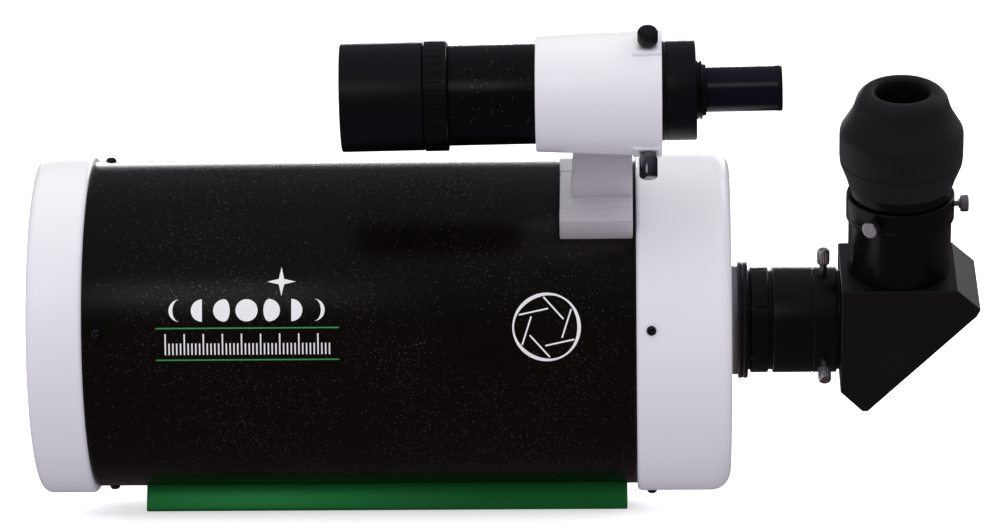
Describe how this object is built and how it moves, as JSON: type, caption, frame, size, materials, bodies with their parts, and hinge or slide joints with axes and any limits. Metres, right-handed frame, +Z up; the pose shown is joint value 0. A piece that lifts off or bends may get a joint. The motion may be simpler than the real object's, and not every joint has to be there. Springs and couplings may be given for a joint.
{
  "type": "maksutov telescope",
  "caption": "Maksutov telescope tube with a meniscus front, moving-mirror focuser, dovetail bar, tilting straight-through finder, mirror diagonal and eyepiece with a rubber eyecup.",
  "frame": {"origin": "centre of the dovetail bar's underside", "axes": "+X along the tube towards the eyepiece end, +Z up; the finder is on the -Y side"},
  "size_m": [0.5028, 0.2362, 0.2596],
  "materials": {
    "tube_paint": "gloss black enamel with fine metal flakes",
    "white_paint": "smooth satin white enamel",
    "green_anodised": "green anodised, satin",
    "silver_anodised": "silver anodised, satin",
    "grey_metal": "turned, satin",
    "black_anodised": "black anodised, satin",
    "black_cast": "satin black powder coat",
    "finder_black": "satin black",
    "matt_black": "matt black",
    "coated_glass": "coated optical glass",
    "mirror_glass": "aluminised glass",
    "rubber": "matt moulded rubber",
    "knob_plastic": "satin moulded plastic",
    "brass": "turned brass",
    "nickel_steel": "nickel-plated steel",
    "dark_chrome": "dark bright chrome",
    "black_steel": "blackened steel"
  },
  "bodies": {
    "tube": {"main_tube": "tube_paint", "front_cell": "white_paint", "front_cell_screws": "black_steel", "corrector_lens": "coated_glass", "corrector_gasket": "rubber", "corrector_retaining_ring": "matt_black", "secondary_baffle": "matt_black", "rear_cell": "white_paint", "rear_cell_screws": "black_steel", "baffle_tube": "matt_black", "focus_bush": "brass", "rear_port_ring": "grey_metal", "visual_back": "black_anodised", "eyepiece_adapter": "black_anodised", "adapter_compression_ring": "brass", "dovetail_bar": "green_anodised", "dovetail_screws": "nickel_steel", "finder_shoe": "silver_anodised", "finder_shoe_screws": "nickel_steel"},
    "mirror_cell": {"primary_mirror": "mirror_glass", "mirror_carrier": "matt_black", "mirror_retaining_ring": "matt_black", "focus_rod": "nickel_steel"},
    "focus_control": {"focus_knob": "knob_plastic", "focus_sleeve": "brass"},
    "lock_ring": {"coupling_ring": "black_anodised"},
    "adapter_screw_upper": {"adapter_thumbscrew_upper": "nickel_steel"},
    "adapter_screw_lower": {"adapter_thumbscrew_lower": "nickel_steel"},
    "shoe_screw": {"shoe_lock_screw": "knob_plastic"},
    "finder_bracket": {"finder_stalk": "silver_anodised", "finder_ring": "white_paint", "finder_o_ring": "rubber", "plunger_housing": "dark_chrome"},
    "plunger": {"plunger_pin": "nickel_steel"},
    "upper_screw": {"adjust_screw_upper": "nickel_steel"},
    "upper_knob": {"adjust_knob_upper": "knob_plastic"},
    "far_screw": {"adjust_screw_far": "nickel_steel"},
    "far_knob": {"adjust_knob_far": "knob_plastic"},
    "finder": {"finder_tube": "finder_black", "finder_rear_body": "finder_black", "finder_eyepiece_collar": "black_anodised", "finder_eyepiece_barrel": "black_anodised", "finder_eyepiece_lenses": "coated_glass"},
    "finder_lock": {"finder_lock_ring": "finder_black"},
    "finder_cell": {"finder_objective_cell": "matt_black", "finder_objective": "coated_glass"},
    "dew_shield": {"finder_dew_shield": "finder_black"},
    "nosepiece": {"diagonal_nosepiece": "black_anodised"},
    "diagonal": {"diagonal_housing": "black_cast", "diagonal_mirror": "mirror_glass", "diagonal_back_plate": "black_cast", "diagonal_screws": "black_steel", "diagonal_eyepiece_holder": "black_anodised", "diagonal_compression_ring": "brass"},
    "holder_screw_front": {"diagonal_thumbscrew_front": "nickel_steel"},
    "holder_screw_side": {"diagonal_thumbscrew_side": "nickel_steel"},
    "eyepiece": {"eyepiece_barrel": "black_anodised", "eyepiece_body": "black_anodised", "eyecup": "rubber", "eyepiece_lenses": "coated_glass"}
  },
  "joints": [
    {"name": "focus_turn", "type": "hinge", "parent": "tube", "child": "focus_control", "pos_m": [0.195, 0.055, 0.1], "axis": [1, 0, 0], "range_deg": [-3240, 3240]},
    {"name": "mirror_slide", "type": "slide", "parent": "tube", "child": "mirror_cell", "axis": [1, 0, 0], "range_m": [-0.00675, 0.00675]},
    {"name": "lock_ring_turn", "type": "hinge", "parent": "tube", "child": "lock_ring", "pos_m": [0.2, 0, 0.1], "axis": [1, 0, 0], "range_deg": [0, 540]},
    {"name": "adapter_screw_upper_turn", "type": "hinge", "parent": "tube", "child": "adapter_screw_upper", "pos_m": [0.2347, -0.01226, 0.13278], "axis": [0, -0.3502, 0.9367], "range_deg": [0, 1080]},
    {"name": "adapter_screw_lower_turn", "type": "hinge", "parent": "tube", "child": "adapter_screw_lower", "pos_m": [0.2347, -0.02226, 0.07299], "axis": [0, -0.6361, -0.7716], "range_deg": [0, 1080]},
    {"name": "shoe_screw_turn", "type": "hinge", "parent": "tube", "child": "shoe_screw", "pos_m": [0.1137, -0.04259, 0.18889], "axis": [0, 0.749, 0.6626], "range_deg": [0, 1080]},
    {"name": "finder_foot_slide", "type": "slide", "parent": "tube", "child": "finder_bracket", "axis": [-1, 0, 0], "range_m": [0, 0.038]},
    {"name": "finder_aim", "type": "hinge", "parent": "finder_bracket", "child": "finder", "pos_m": [0.086, -0.10999, 0.22433], "axis": [0, -0.9483, 0.3173], "range_deg": [-1.5, 1.5]},
    {"name": "plunger_slide", "type": "slide", "parent": "finder_bracket", "child": "plunger", "axis": [0, 0.3173, 0.9483], "range_m": [-0.0015, 0.0015]},
    {"name": "upper_screw_slide", "type": "slide", "parent": "finder_bracket", "child": "upper_screw", "axis": [0, -0.6626, 0.749], "range_m": [-0.00075, 0.00075]},
    {"name": "upper_knob_turn", "type": "hinge", "parent": "upper_screw", "child": "upper_knob", "pos_m": [0.1412, -0.1365, 0.25428], "axis": [0, -0.6626, 0.749], "range_deg": [-330, 330]},
    {"name": "far_screw_slide", "type": "slide", "parent": "finder_bracket", "child": "far_screw", "axis": [0, 0.9799, 0.1994], "range_m": [-0.00075, 0.00075]},
    {"name": "far_knob_turn", "type": "hinge", "parent": "far_screw", "child": "far_knob", "pos_m": [0.1412, -0.0708, 0.2323], "axis": [0, 0.9799, 0.1994], "range_deg": [-330, 330]},
    {"name": "finder_cell_slide", "type": "slide", "parent": "finder", "child": "finder_cell", "axis": [-0.9999, -0.005, -0.0149], "range_m": [0, 0.003]},
    {"name": "finder_focus_turn", "type": "hinge", "parent": "finder_cell", "child": "dew_shield", "pos_m": [0.00601, -0.11039, 0.22314], "axis": [-0.9999, -0.005, -0.0149], "range_deg": [0, 1440]},
    {"name": "finder_lock_turn", "type": "hinge", "parent": "finder", "child": "finder_lock", "pos_m": [0.03201, -0.11026, 0.22352], "axis": [-0.9999, -0.005, -0.0149], "range_deg": [0, 540]},
    {"name": "nosepiece_slide", "type": "slide", "parent": "tube", "child": "nosepiece", "axis": [1, 0, 0], "range_m": [0, 0.036]},
    {"name": "diagonal_swivel", "type": "hinge", "parent": "nosepiece", "child": "diagonal", "pos_m": [0.2435, 0, 0.1], "axis": [1, 0, 0], "continuous": true},
    {"name": "holder_screw_front_turn", "type": "hinge", "parent": "diagonal", "child": "holder_screw_front", "pos_m": [0.25885, -0.05475, 0.15088], "axis": [-0.4924, -0.792, -0.3609], "range_deg": [0, 1080]},
    {"name": "holder_screw_side_turn", "type": "hinge", "parent": "diagonal", "child": "holder_screw_side", "pos_m": [0.3081, -0.02835, 0.16291], "axis": [1, 0.0079, 0.0036], "range_deg": [0, 1080]},
    {"name": "eyepiece_slide", "type": "slide", "parent": "diagonal", "child": "eyepiece", "axis": [0, -0.4147, 0.91], "range_m": [0, 0.036]}
  ],
  "couplings": [
    {"joint": "focus_turn", "follows": "mirror_slide", "rad_per_m": 8377.6},
    {"joint": "plunger_slide", "follows": "finder_aim", "m_per_rad": 0.0552},
    {"joint": "upper_screw_slide", "follows": "finder_aim", "m_per_rad": 0.0276},
    {"joint": "upper_knob_turn", "follows": "finder_aim", "ratio": 216.77},
    {"joint": "far_screw_slide", "follows": "finder_aim", "m_per_rad": 0.0276},
    {"joint": "far_knob_turn", "follows": "finder_aim", "ratio": 216.77},
    {"joint": "finder_cell_slide", "follows": "finder_focus_turn", "m_per_rad": 0.00011937}
  ]
}
